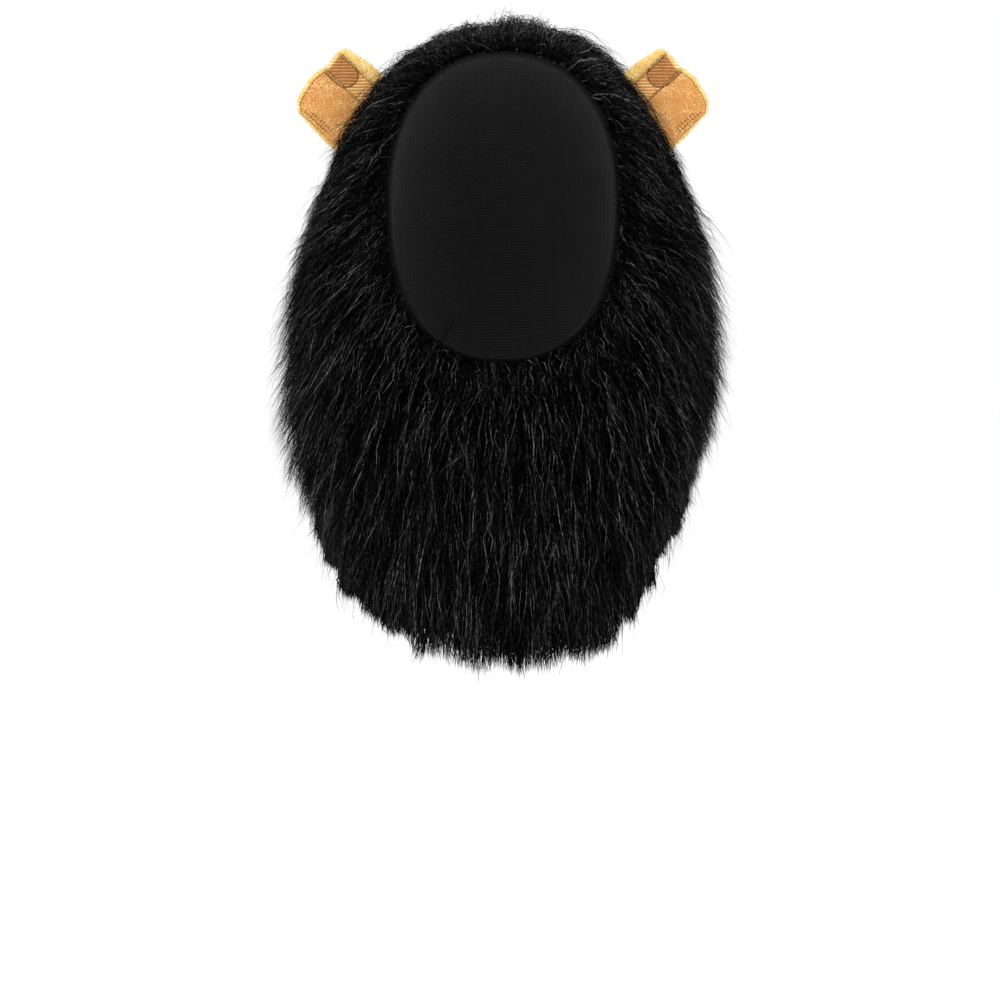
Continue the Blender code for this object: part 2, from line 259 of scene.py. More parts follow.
def cloth_point(station, angle):
    """Points on the inside of the cloth."""
    crown_y, crown_drop, throat_y, throat_drop, swell = hood_row(station)
    none = np.zeros_like(swell)
    crown = np.stack([none, crown_y * HOOD_DEPTH, -crown_drop * NAPE_DROP], -1)
    throat = np.stack([none, throat_y * HOOD_DEPTH, -CHIN_DROP - throat_drop * THROAT_LENGTH], -1)
    half_width = (FACE_WIDTH + swell * (NECK_WIDTH - FACE_WIDTH)) / 2
    rise = signed_power(np.cos(angle), 2 / OVAL_POWER)[..., None]
    spread = half_width * signed_power(np.sin(angle), 2 / OVAL_POWER)
    return (crown + throat) / 2 + (crown - throat) / 2 * rise + np.stack([spread, none, none], -1)


def cloth_slopes(station, angle):
    """Unit vectors along the hood to the neck and straight off its outside."""
    along = unit(cloth_point(station + SLOPE_STEP, angle) - cloth_point(station - SLOPE_STEP, angle))
    around = unit(cloth_point(station, angle + SLOPE_STEP) - cloth_point(station, angle - SLOPE_STEP))
    return along, unit(np.cross(around, along))


def off_cloth(station, angle, off, beyond=0.0):
    """Points that stand off the cloth, moved on along the hood."""
    along, out = cloth_slopes(station, angle)
    return cloth_point(station, angle) + out * np.asarray(off)[..., None] + along * beyond


corner = off_cloth(np.array([0.0, 1.0]), np.array([0.0, np.pi]), np.array([0.0, 0.0]))
print("crown edge and chest edge, mm:", (corner * 1000).round(1).tolist())

# %% [markdown]
# ## Meshes from arrays
# A hood or a hem is a closed strip of rings, and fur is tens of thousands of small ribbons. Both are
# quick when numpy works out all points at once and hands them to Blender in single calls. A loop over
# strands in Python would take minutes.


# %% Meshes from arrays
def add_piece(name, points, faces, nodes=(), uv=None, values=None):
    """A piece of the wig from arrays of points and of triangles or quads, which rides on the wig's body."""
    mesh = bpy.data.meshes.new(name)
    sides = faces.shape[1]
    mesh.vertices.add(len(points))
    mesh.vertices.foreach_set("co", points.astype(np.float32).ravel())
    mesh.loops.add(faces.size)
    mesh.loops.foreach_set("vertex_index", faces.astype(np.int32).ravel())
    mesh.polygons.add(len(faces))
    mesh.polygons.foreach_set("loop_start", np.arange(0, faces.size, sides, dtype=np.int32))
    if uv is not None:
        layer = mesh.uv_layers.new(name="OFBake")
        layer.uv.foreach_set("vector", uv[faces.ravel()].astype(np.float32).ravel())
    for key, value in (values or {}).items():
        mesh.attributes.new(key, "FLOAT", "POINT").data.foreach_set("value", value.astype(np.float32))
    mesh.update()
    mesh.validate()
    mesh.shade_smooth()
    piece = bpy.data.objects.new(name, mesh)
    bpy.context.scene.collection.objects.link(piece)
    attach(piece, "root")
    if nodes:
        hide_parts(*nodes)
    return piece


def ring_faces(rows, columns):
    """Quads between rings of points, each ring and the row of rings closed on itself."""
    row, column = np.meshgrid(np.arange(rows), np.arange(columns), indexing="ij")
    row_after = (row + 1) % rows
    column_after = (column + 1) % columns
    quads = np.stack([row * columns + column, row * columns + column_after,
                      row_after * columns + column_after, row_after * columns + column], -1)
    return quads.reshape(-1, 4)


def triangles_in(piece):
    return sum(len(face.vertices) - 2 for face in piece.data.polygons)


# %% [markdown]
# ## Knit backing
# The backing is a warp knit, 2 mm thick with its nap, and stretch keeps it smooth on a head. Only its
# inside shows, through the face and neck openings. A displaced mesh could carry the stitches, but the
# wales are 1.6 mm apart, so a bump pattern does it at no cost. The colour is a black that is a little
# lighter on top of each wale, where the bump pattern is high, and darker between the stitches.

# %% Knit backing
WALE = 0.0016  # one column of knit stitches
COURSE = 0.0013  # one row of them

knit, knit_shader = new_material("warp_knit_polyester", Roughness=0.82, Sheen_Weight=0.25,
                                 Sheen_Roughness=0.5, Specular_IOR_Level=0.25)
place = add(knit, "TexCoord")
wales = add(knit, "TexWave", {"Vector": (place, "UV"), "Scale": 1.0, "Distortion": 0.6, "Detail": 1.0},
            wave_type="BANDS", bands_direction="X")
courses = add(knit, "TexWave", {"Vector": (place, "UV"), "Scale": 1.0, "Distortion": 0.9, "Detail": 1.0},
              wave_type="BANDS", bands_direction="Y")
stitches = add(knit, "Math", {0: (wales, "Fac"), 1: (courses, "Fac")}, operation="MULTIPLY")
patchiness = add(knit, "TexNoise", {"Vector": (place, "Object"), "Scale": 24.0, "Detail": 4.0})
stitch_tops = add(knit, "Math", {0: (stitches, 0), 1: (patchiness, "Fac")}, operation="MULTIPLY")
# The black is lighter where the stitch relief is high and darker between stitches, more so in some patches.
shade = add(knit, "ValToRGB", {"Fac": (stitch_tops, 0)})
shade.color_ramp.elements[0].color = colour("#121213")
shade.color_ramp.elements[1].color = colour("#3a3a3c")
link(knit, shade, "Color", knit_shader, "Base Color")
relief = add(knit, "Bump", {"Height": (stitches, 0), "Strength": 0.7, "Distance": 0.0004})
link(knit, relief, "Normal", knit_shader, "Normal")

HOOD_RINGS = 30
HOOD_AROUND = 96
stations = np.linspace(0, 1, HOOD_RINGS)[:, None] * np.ones(HOOD_AROUND)
angles = np.linspace(0, 2 * np.pi, HOOD_AROUND, endpoint=False) * np.ones((HOOD_RINGS, 1))
outside = off_cloth(stations, angles, np.full(stations.shape, CLOTH_WALL))
inside = cloth_point(stations, angles)
hood_points = np.concatenate([outside, inside[::-1]]).reshape(-1, 3)
lengths = np.linalg.norm(np.diff(inside, axis=0), axis=-1).mean(1)
run = np.concatenate([[0], np.cumsum(lengths)])
mean_round = np.linalg.norm(inside - np.roll(inside, 1, 1), axis=-1).sum(1).mean()
# A wave repeats every 0.314 of a unit at scale 1, so lengths are divided by the stitch and times that.
wave_unit = math.pi / 10
hood_u = angles / (2 * np.pi) * round(mean_round / WALE) * wave_unit
hood_v = run[:, None] * np.ones(HOOD_AROUND) / COURSE * wave_unit
pattern = np.stack([hood_u, hood_v], -1)
pattern = np.concatenate([pattern, pattern[::-1]]).reshape(-1, 2)
hood = add_piece("hood_cloth", hood_points, ring_faces(2 * HOOD_RINGS, HOOD_AROUND)[:, ::-1],
                 ["hood_backing"])
layer = hood.data.uv_layers.new(name="knit_stitches")
corners = np.zeros(len(hood.data.loops), np.int32)
hood.data.loops.foreach_get("vertex_index", corners)
corner_uv = pattern[corners]
seam_start = corners % HOOD_AROUND == 0
quad_has_end = (corners % HOOD_AROUND == HOOD_AROUND - 1).reshape(-1, 4).any(1).repeat(4)
corner_uv[seam_start & quad_has_end, 0] += round(mean_round / WALE) * wave_unit
layer.uv.foreach_set("vector", corner_uv.astype(np.float32).ravel())
hood.data.materials.append(knit)

# %% [markdown]
# ## Elastic hems
# Each edge is turned over a flat elastic, which gathers the cloth into small even folds when it is
# relaxed. A wave in the band's thickness makes the gathers, one every 5 mm, and a zigzag of thread runs
# along the middle. The hem could be a plain tube with a bump, but its edge is seen from the side all
# round the face, where a bump is flat.

# %% Elastic hems
HEM_WIDTH = 0.008
HEM_THICKNESS = 0.004
HEM_GATHER = 0.0006
GATHER_PITCH = 0.005
THREAD = 0.0005
STITCH = 0.0032

elastic, elastic_shader = new_material("ribbed_elastic_hem", Roughness=0.8, Sheen_Weight=0.06,
                                       Sheen_Roughness=0.45, Specular_IOR_Level=0.12)
place = add(elastic, "TexCoord")
fleck = add(elastic, "TexNoise", {"Vector": (place, "Object"), "Scale": 900.0, "Detail": 3.0})
shade = add(elastic, "ValToRGB", {"Fac": (fleck, "Fac")})
shade.color_ramp.elements[0].color = colour("#040405")
shade.color_ramp.elements[1].color = colour("#131315")
link(elastic, shade, "Color", elastic_shader, "Base Color")
relief = add(elastic, "Bump", {"Height": (fleck, "Fac"), "Strength": 0.5, "Distance": 0.0003})
link(elastic, relief, "Normal", elastic_shader, "Normal")

thread, thread_shader = new_material("polyester_thread", Base_Color=colour("#1c1c1e"), Roughness=0.45,
                                     Specular_IOR_Level=0.4)
place = add(thread, "TexCoord")
twist = add(thread, "TexWave", {"Vector": (place, "Object"), "Scale": 700.0, "Distortion": 1.0},
            bands_direction="DIAGONAL")
relief = add(thread, "Bump", {"Height": (twist, "Fac"), "Strength": 0.6, "Distance": 0.0001})
link(thread, relief, "Normal", thread_shader, "Normal")

HEM_AROUND = 600
HEM_SECTION = 8
HEM_ROUNDING = 0.5


def hem_band(station, sign):
    """Rings of points round one edge of the cloth, past it, with gathers."""
    turn = np.linspace(0, 2 * np.pi, HEM_AROUND, endpoint=False)
    edge = cloth_point(np.full(HEM_AROUND, station), turn)
    way = np.concatenate([[0], np.cumsum(np.linalg.norm(np.diff(edge, axis=0), axis=-1))])
    total = way[-1] + np.linalg.norm(edge[0] - edge[-1])
    gathers = round(total / GATHER_PITCH)
    wave = np.sin(2 * np.pi * gathers * way / total)
    wave += 0.35 * np.sin(2 * np.pi * 23 * way / total + 1.0)
    rings = []
    for k in range(HEM_SECTION):
        section = 2 * np.pi * k / HEM_SECTION
        flat = signed_power(np.array(np.cos(section)), 0.6)
        thick = signed_power(np.array(np.sin(section)), 0.8)
        beyond = sign * (GAP + HEM_WIDTH / 2 * (1 + flat))
        swell = HEM_THICKNESS / 2 - HEM_GATHER + HEM_GATHER * wave * (1 - HEM_ROUNDING * abs(flat))
        along, out = cloth_slopes(np.full(HEM_AROUND, station), turn)
        rings.append(edge + out * (CLOTH_WALL / 2 + thick * swell)[:, None] + along * beyond)
    return np.stack(rings), way, total


def hem_stitches(station, sign, way, total):
    """Zigzag stitches of thread on the inner and outer face of a hem, as flat bars of four corners."""
    count = 2 * round(total / STITCH / 2)
    turn = np.linspace(0, 2 * np.pi, HEM_AROUND, endpoint=False)
    points = []
    for face in (-1, 1):
        at = (np.arange(count + 1) % count) / count * total
        spot = np.interp(at, np.append(way, total), np.append(turn, 2 * np.pi))
        swing = np.where(np.arange(count + 1) % 2, 0.68, 0.32)
        stations_here = np.full(count + 1, station)
        along, out = cloth_slopes(stations_here, spot)
        height = CLOTH_WALL / 2 + face * (HEM_THICKNESS / 2 + THREAD * 0.1)
        knots = cloth_point(stations_here, spot) + out * height
        knots += along * (sign * (GAP + HEM_WIDTH * swing))[:, None]
        ahead = unit(knots[1:] - knots[:-1])
        across = unit(np.cross(ahead, out[:-1])) * THREAD / 2
        up = out[:-1] * face * THREAD / 2
        low, high = knots[:-1] + ahead * THREAD * 0.3, knots[1:] - ahead * THREAD * 0.3
        corners = [low - across, low + up, low + across, high - across, high + up, high + across]
        points.append(np.stack(corners, 1))
    points = np.concatenate(points)
    bar = np.array([(0, 1, 4, 3), (1, 2, 5, 4), (2, 0, 3, 5)])
    faces = (np.arange(len(points))[:, None, None] * 6 + bar).reshape(-1, 4)
    return points.reshape(-1, 3), faces


hems = []
for edge_name, station, sign in (("face", 0.0, -1), ("neck", 1.0, 1)):
    band, way, total = hem_band(station, sign)
    quads = ring_faces(HEM_SECTION, HEM_AROUND)
    if sign > 0:
        quads = quads[:, ::-1]
    hem = add_piece(f"{edge_name}_gathered_hem", band.reshape(-1, 3), quads,
                    [f"{edge_name}_hem"])
    hem.data.materials.append(elastic)
    points, faces = hem_stitches(station, sign, way, total)
    zigzag = add_piece(f"{edge_name}_hem_stitches", points, faces)
    zigzag.data.materials.append(thread)
    hems += [hem, zigzag]
    print(edge_name, "hem:", round(total * 1000), "mm round,", len(faces) // 3, "stitches")

# %% [markdown]
# ## Where the ears sit
# Each ear stands on the hood's side, leans outwards and faces forward. Its seat and its three
# directions are worked out here, because the fur parts round it and the plush is laid out along it.

# %% Ear places
EAR_WIDTH = 0.061
EAR_HEIGHT = 0.058
EAR_CUP = 0.011
EAR_LEAN = math.radians(47)
EAR_STATION = 0.36
EAR_ANGLE = math.radians(58)


def ear_frame(side):
    """Seat, across, up and forward of one ear. Side is -1 for the left one and 1 for the right."""
    seat = off_cloth(np.array([EAR_STATION]), np.array([side * EAR_ANGLE]), np.array([CLOTH_WALL]))[0]
    up = np.array([side * math.sin(EAR_LEAN), 0, math.cos(EAR_LEAN)])
    across = np.array([-side * math.cos(EAR_LEAN), 0, math.sin(EAR_LEAN)])
    return seat, across, up, np.array([0.0, -1.0, 0.0])


def in_ear(points, side):
    """Where points are in an ear's own directions: across, up and forward, in metres."""
    seat, across, up, forward = ear_frame(side)
    away = points - seat
    return away @ across, away @ up, away @ forward


for side, word in ((-1, "left"), (1, "right")):
    print(word, "ear seat, mm:", (ear_frame(side)[0] * 1000).round(1).tolist())

# %% [markdown]
# ## How the fur lies
# The pile is sewn in rows that run round the hood. Strands leave the backing, sweep back along it and
# then fall. Their length and their lift change from the face edge to the neck edge, as in the solid
# locks of the frame. The same tables are used here, so the strands fill the same form.

# %% Pile tables
FUR_DEPTH = 0.052
LOCK_LENGTH = 0.100
BASE_SHARE = 0.55
LOCK_DROOP = 1.2
LOCK_STEPS = 20
DOWN = np.array([0.0, 0.0, -1.0])

# Columns: station, then the fur's depth at the crown, at the cheeks and at the throat, as shares.
PILE_SECTIONS = np.array((
    (0.00, 0.28, 0.52, 0.45),
    (0.15, 0.36, 0.58, 0.62),
    (0.35, 0.42, 0.68, 0.75),
    (0.60, 0.45, 0.95, 0.78),
    (0.80, 0.55, 0.95, 0.72),
    (1.00, 0.55, 0.75, 0.66),
))
# Columns: station, length as a share of LOCK_LENGTH, flow (1 lies along the hood, 0 stands off it),
# and the length at the hood's sides as a share of that at the throat.
LOCK_ROWS = np.array((
    (0.00, 0.60, 0.45, 1.00),
    (0.20, 0.80, 0.48, 1.00),
    (0.38, 0.92, 0.50, 1.00),
    (0.57, 1.04, 0.55, 1.00),
    (0.76, 1.05, 0.65, 0.72),
    (0.95, 1.12, 0.85, 0.42),
))


def column(table, station, index):
    return np.interp(station, table[:, 0], table[:, index])


def fur_depth(station, angle):
    """How far the fur's surface stands off the cloth."""
    cheek = column(PILE_SECTIONS, station, 2)
    end = np.where(np.cos(angle) > 0, column(PILE_SECTIONS, station, 1), column(PILE_SECTIONS, station, 3))
    return FUR_DEPTH * (cheek + (end - cheek) * np.cos(angle) ** 2)


# %% [markdown]
# ## Dense underfur
# Between the roots, real pile is so dense that no backing shows. A closed shell stands for it, a little
# under the surface of the strands and bumpy like matted fibre. It thins out where an ear is sewn on.
# Short strands could fill that space too, but a hundred thousand more would never be seen.

# %% Dense underfur
UNDERFUR_SHARE = 0.42  # of the fur's depth
FACE_LIP = 0.010
NECK_LIP = 0.016
EAR_PARTING = 0.034

underfur_black, underfur_shader = new_material("matted_acrylic_underfur", Roughness=0.95,
                                               Specular_IOR_Level=0.05)
place = add(underfur_black, "TexCoord")
mat = add(underfur_black, "TexNoise", {"Vector": (place, "Object"), "Scale": 260.0, "Detail": 6.0})
shade = add(underfur_black, "ValToRGB", {"Fac": (mat, "Fac")})
shade.color_ramp.elements[0].color = colour("#020202")
shade.color_ramp.elements[1].color = colour("#0c0c0c")
link(underfur_black, shade, "Color", underfur_shader, "Base Color")
relief = add(underfur_black, "Bump", {"Height": (mat, "Fac"), "Strength": 0.8, "Distance": 0.002})
link(underfur_black, relief, "Normal", underfur_shader, "Normal")

UNDER_RINGS = 34
UNDER_AROUND = 96
dice = np.random.default_rng(11)


def ear_parting(points):
    """From 0 at an ear's foot to 1 clear of it."""
    share = np.ones(points.shape[:-1])
    for side in (-1, 1):
        across, up, forward = in_ear(points, side)
        beside = np.maximum(np.abs(across) - EAR_WIDTH / 2, 0)
        away = np.sqrt(beside ** 2 + forward ** 2)
        share = np.minimum(share, np.clip(away / EAR_PARTING + (np.abs(up) > EAR_HEIGHT), 0, 1))
    return share


stations = np.linspace(0, 1, UNDER_RINGS)[:, None] * np.ones(UNDER_AROUND)
angles = np.linspace(0, 2 * np.pi, UNDER_AROUND, endpoint=False) * np.ones((UNDER_RINGS, 1))
skin = CLOTH_WALL + GAP * 2
parted = ear_parting(cloth_point(stations, angles))
rough = 1 + 0.10 * dice.standard_normal(stations.shape)
depth = np.maximum(fur_depth(stations, angles) * UNDERFUR_SHARE * rough * parted, skin + 0.001)
outer = off_cloth(stations, angles, depth)
inner = off_cloth(stations, angles, np.full(stations.shape, skin))
round_angles = angles[0]
face_roll = [off_cloth(np.zeros(UNDER_AROUND), round_angles, np.full(UNDER_AROUND, off), -FACE_LIP * far)
             for off, far in ((0.0060, 0.35), (0.0080, 0.7), (0.0110, 0.8))]
neck_roll = [off_cloth(np.ones(UNDER_AROUND), round_angles, np.full(UNDER_AROUND, off), NECK_LIP * far)
             for off, far in ((0.0150, 0.6), (0.0120, 0.9), (0.0070, 0.7))]
under_rows = np.concatenate([face_roll, outer, neck_roll, inner[::-1]])
under_faces = ring_faces(len(under_rows), UNDER_AROUND)[:, ::-1]
underfur = add_piece("underfur", under_rows.reshape(-1, 3), under_faces, ["mane_fur"])
underfur.data.materials.append(underfur_black)
print("underfur triangles:", triangles_in(underfur))

# %% [markdown]
# ## Modacrylic fur
# Wig fur is modacrylic: smooth drawn fibre with a soft gloss. Its index of refraction is about 1.5 and
# its drawn skin reflects along a narrow band, so the eye sees black broken by thin grey lines where
# strands turn to the light. Here the shader's reflection is set almost to nothing, and those grey lines
# are painted highlights in the colour of some strands. The tips, cut thin, are painted greyer than the
# roots, for light shining through them. Two values on every point of a strand, its highlight tint and
# the share of the way to the tip, carry that to the shader. Crimp turns a fibre to the light and away
# every few millimetres, too fine for the mesh, so a noise of that size breaks the painted grey lines
# into painted glints.

# %% Modacrylic fur
GLINT_SCALE = 1 / 0.0032  # a noise cell for each glint, in metres

fur_black, fur_shader = new_material("modacrylic_faux_fur", Roughness=0.38, IOR=1.5, Specular_IOR_Level=0.01)
# Painted highlight: this value is high on the strands painted grey in place of highlights, near nothing on
# the rest.
tint = add(fur_black, "Attribute", attribute_name="tint")
reach = add(fur_black, "Attribute", attribute_name="reach")
place = add(fur_black, "TexCoord")
# Painted glints: a noise lightens and darkens the painted highlights along each strand, as a crimped fibre
# would catch the light and lose it.
glint_noise = add(fur_black, "TexNoise", {"Vector": (place, "Object"), "Scale": GLINT_SCALE, "Detail": 1.0})
painted_glint = add(fur_black, "MapRange", {0: (glint_noise, "Fac"), 1: 0.40, 2: 0.62, 3: 0.25, 4: 1.3})
glinting_highlight_tint = add(fur_black, "Math", {0: (tint, "Fac"), 1: (painted_glint, 0)}, operation="MULTIPLY")
root_shade = add(fur_black, "ValToRGB", {"Fac": (glinting_highlight_tint, 0)})
root_shade.color_ramp.elements[0].color = colour("#010101")
root_shade.color_ramp.elements[1].color = colour("#6a6969")
# Painted light: the tips' ramp is lighter than the roots', for light shining through thin tips.
lit_tip_shade = add(fur_black, "ValToRGB", {"Fac": (glinting_highlight_tint, 0)})
lit_tip_shade.color_ramp.elements[0].color = colour("#020202")
lit_tip_shade.color_ramp.elements[1].color = colour("#908f8f")
toward_tip = add(fur_black, "Math", {0: (reach, "Fac"), 1: 1.6}, operation="POWER")
strand_shade = add(fur_black, "Mix", {0: (toward_tip, 0), 6: (root_shade, "Color"), 7: (lit_tip_shade, "Color")},
                   data_type="RGBA")
link(fur_black, strand_shade, 2, fur_shader, "Base Color")

# %% [markdown]
# ## Locks
# Strands never lie evenly: they cling together in locks that narrow to a point, so locks come first.
# Their places are drawn evenly over the area of the fur. Drawn evenly by station and angle, they would
# crowd at the narrow crown. Each centre line leaves the backing, is combed to its own side of the
# crown, sweeps along the hood and droops more the further it goes.

# %% Locks
ROOT_SHARE = 0.30  # of the fur's depth, where strands start
PARTING = 0.55  # how strongly the crown is combed to both sides
FALL = 0.30  # how far strands hang from their roots on at the sides


def even_places(count, station_ends, angle_ends, dice):
    """Stations and angles spread evenly over the area of one part of the hood."""
    fine = 60
    edges_s = np.linspace(*station_ends, fine + 1)
    edges_a = np.linspace(*angle_ends, fine + 1)
    grid_s, grid_a = np.meshgrid(edges_s, edges_a, indexing="ij")
    corners = off_cloth(grid_s, grid_a, fur_depth(grid_s, grid_a) * BASE_SHARE)
    sides = np.cross(corners[1:, :-1] - corners[:-1, :-1], corners[:-1, 1:] - corners[:-1, :-1])
    area = np.linalg.norm(sides, axis=-1).ravel()
    cell = dice.choice(fine * fine, count, p=area / area.sum())
    row, place = np.divmod(cell, fine)
    station = edges_s[row] + dice.random(count) * (edges_s[1] - edges_s[0])
    angle = edges_a[place] + dice.random(count) * (edges_a[1] - edges_a[0])
    return station, angle, area.sum()


def lock_spines(station, angle, dice):
    """Centre lines of locks as an array of lock, step and place."""
    count = len(station)
    along, out = cloth_slopes(station, angle)
    side = np.cross(out, along)
    depth = fur_depth(station, angle)
    lift = (depth / FUR_DEPTH)[:, None]
    flow = (column(LOCK_ROWS, station, 2) + dice.normal(0, 0.05, count))[:, None]
    sweep = dice.normal(0, 0.10, count)
    sweep = (sweep - PARTING * 2 * np.sin(angle) * np.maximum(np.cos(angle), 0))[:, None]
    heading = unit(along * flow + out * (1 - flow) * lift + side * sweep)
    hang = FALL * np.sin(angle)[:, None] ** 2
    at_side = column(LOCK_ROWS, station, 3)
    length = LOCK_LENGTH * column(LOCK_ROWS, station, 1) * (1 - (1 - at_side) * np.sin(angle) ** 8)
    length *= dice.uniform(0.86, 1.10, count)
    bend = dice.normal(0, 0.12, (count, 3))
    spine = [cloth_point(station, angle) + out * (depth * ROOT_SHARE)[:, None]]
    for step in range(LOCK_STEPS):
        share = step / LOCK_STEPS
        turned = unit(heading + DOWN * (hang + LOCK_DROOP * share) + bend * share)
        spine.append(spine[-1] + turned * (length / LOCK_STEPS)[:, None])
    return np.stack(spine, 1), out


# %% [markdown]
# ## Strands in a lock
# A lock's strands start in a patch round its centre line and close in on it. A few loose ones keep
# their own way, which breaks up the locks and frays the outline. Strands differ in length, but near the
# neck edge they are nearly all long, or the cloth would show between them.

# %% Strands in a lock
LINE_STEPS = 12
LOCK_PATCH = 0.0075  # strands start about this far from their lock's centre
LOOSE = 0.12  # share of strands that keep their own way
STRANDS_PER_LOCK = 14


def grow(count, station_ends, angle_ends, seed, long=1.0):
    """Lines of strands as an array of strand, step and place, with the way off the hood at each root."""
    dice = np.random.default_rng(seed)
    lock_station, lock_angle, area = even_places(count // STRANDS_PER_LOCK, station_ends, angle_ends, dice)
    spines, outs = lock_spines(lock_station, lock_angle, dice)
    lock = dice.integers(0, len(spines), count)
    loose = dice.random(count) < LOOSE
    spread = dice.normal(0, LOCK_PATCH, (count, 3)) * np.where(loose, 1.5, 1.0)[:, None]
    normal = outs[lock]
    spread -= normal * (spread * normal).sum(1, keepdims=True) * 0.75
    gather = np.where(loose, dice.uniform(-0.5, 0.4, count), dice.uniform(0.15, 0.75, count))
    near_neck = np.clip((lock_station[lock] - 0.55) / 0.3, 0, 1)
    own_length = dice.uniform(0.62 + 0.26 * near_neck, 1.04) * long
    steps = np.arange(LINE_STEPS + 1) / LINE_STEPS
    at = np.clip(own_length[:, None] * steps, 0, 1) * LOCK_STEPS
    low = np.minimum(at.astype(int), LOCK_STEPS - 1)
    part = (at - low)[..., None]
    line = spines[lock[:, None], low] * (1 - part) + spines[lock[:, None], low + 1] * part
    line = line + spread[:, None] * (1 - gather[:, None, None] * steps[None, :, None])
    wander = dice.normal(0, 0.0042, (count, 3)) * np.where(loose, 2.0, 1.0)[:, None]
    line = line + wander[:, None] * (steps ** 2)[None, :, None]
    return line, normal, area


# %% [markdown]
# ## Where the fur ends
# The outline of the wig was measured on the photograph, as seen from the front. Shallow notches between
# tufts break it up. Behind the front, no photograph tells how far the fur goes, so two limits in depth
# keep it near the solid locks. The ears need room too: nothing may pass through one or hide its face.

# %% Where the fur ends
TUFT_DEPTH = 0.002  # how deep the notches between tufts are
EAR_SHADOW = 0.036  # above this height nothing grows in front of an ear
OUTLINE_CENTRE = -0.22
# Degrees from straight up round to the right, and metres from a point on the middle line.
OUTLINE = np.array((
    (-180, 0.221), (-164, 0.216), (-162, 0.211), (-150, 0.200), (-138, 0.184), (-126, 0.174),
    (-120, 0.177), (-115, 0.175), (-106, 0.170), (-96, 0.168), (-86, 0.164), (-76, 0.163), (-65, 0.162),
    (-60, 0.162), (-55, 0.166), (-50, 0.171), (-44, 0.174), (-41, 0.184), (-39, 0.195), (-37, 0.205),
    (-32, 0.211), (-25, 0.214), (-18, 0.218), (-12, 0.226), (-5, 0.231), (1, 0.236), (5, 0.236),
    (9, 0.232), (14, 0.229), (20, 0.222), (26, 0.216), (33, 0.212), (35, 0.203), (37, 0.192),
    (42, 0.186), (46, 0.178), (50, 0.174), (56, 0.174), (62, 0.174), (67, 0.173), (71, 0.171),
    (76, 0.168), (86, 0.162), (96, 0.158), (107, 0.156), (117, 0.157), (124, 0.158), (128, 0.164),
    (134, 0.167), (142, 0.176), (148, 0.188), (152, 0.197), (154, 0.206), (159, 0.214), (162, 0.218),
    (180, 0.221),
))


def outline_room(points):
    """How far inside the fur's outline points lie as seen from the front, in metres."""
    nearer = -CAMERA_PLACE.y / (points[..., 1] - CAMERA_PLACE.y)
    across = points[..., 0] * nearer
    rise = (points[..., 2] - CAMERA_PLACE.z) * nearer + CAMERA_PLACE.z - OUTLINE_CENTRE
    heading = np.arctan2(across, rise)
    tufts = TUFT_DEPTH * (np.sin(heading * 33 + points[..., 1] * 40) + np.sin(heading * 59 + 1.0))
    return np.interp(np.degrees(heading), OUTLINE[:, 0], OUTLINE[:, 1]) + tufts - np.hypot(across, rise)


def ear_room(points):
    """Positive where points leave the cups, the faces and the seats of the ears free."""
    room = np.ones(points.shape[:-1])
    for side in (-1, 1):
        across, up, forward = in_ear(points, side)
        beside = np.abs(across) - EAR_WIDTH / 2 - 0.004
        through = np.maximum.reduce([beside, 0.004 - up, up - EAR_HEIGHT - 0.006, -0.005 - forward,
                                     forward - EAR_CUP - 0.004])
        hides = np.maximum.reduce([beside, EAR_SHADOW - up, up - EAR_HEIGHT - 0.02, -forward])
        room = np.minimum(room, np.minimum(through, hides))
    return room


# %% [markdown]
# ## Cutting the strands
# Strands are grown a little too long and then cut, as a maker shears a wig. Each has a little room of
# its own past the outline, so the edge thins out softly, and a few stray ones go further. What would be
# left as a stub is taken out, and so is what would hang across the face opening or poke through the
# cloth to its inside. Growing each strand to the right length at once would need a search for each.

# %% Cutting the strands
FRONT_LIMIT, BACK_LIMIT = -0.148, 0.186  # loose ends are cut off past these places in y
FACE_CENTRE = -0.1196
FACE_HALF = (0.079, 0.1025)  # strands keep out of the face opening, this far across and up
RIBBON_STEPS = 6
CRIMP = 0.0016  # how far strands waver from their line
SOFT_EDGE = 0.004  # over how many metres the outline thins out
STRAY = 0.07  # share of strands that go past the outline
HOLLOW_CELL = 0.002
HOLLOW_CELLS = (200, 230)
HOLLOW_CORNER = (-0.16, -0.42)
HOLLOW_MARGIN = 0.004


def in_face_opening(points):
    """Where points are in the face opening or in the hollow just behind it."""
    across = np.abs(points[..., 0] / FACE_HALF[0]) ** OVAL_POWER
    upward = np.abs((points[..., 2] - FACE_CENTRE) / FACE_HALF[1]) ** OVAL_POWER
    hollow_end = np.interp(-points[..., 2], (0.03, 0.06, 0.15), (0.02, 0.075, 0.125)) - 0.03 * across
    return (across + upward < 1) & (points[..., 1] < hollow_end)


def hollow_reach():
    """How far the hood's hollow reaches to each side, over cells of depth and height."""
    station, angle = np.meshgrid(np.linspace(0, 1, 400), np.linspace(0, np.pi, 400), indexing="ij")
    points = cloth_point(station, angle).reshape(-1, 3)
    cells = ((points[:, 1:] - HOLLOW_CORNER) / HOLLOW_CELL).astype(int)
    reach = np.zeros(HOLLOW_CELLS)
    np.maximum.at(reach, tuple(cells.T), points[:, 0])
    return reach


def in_hollow(points, reach):
    """Where points have gone through the cloth to the inside of the hood."""
    cells = ((points[..., 1:] - HOLLOW_CORNER) / HOLLOW_CELL).astype(int)
    cells = np.clip(cells, 0, np.array(HOLLOW_CELLS) - 1)
    return np.abs(points[..., 0]) < reach[cells[..., 0], cells[..., 1]] - HOLLOW_MARGIN


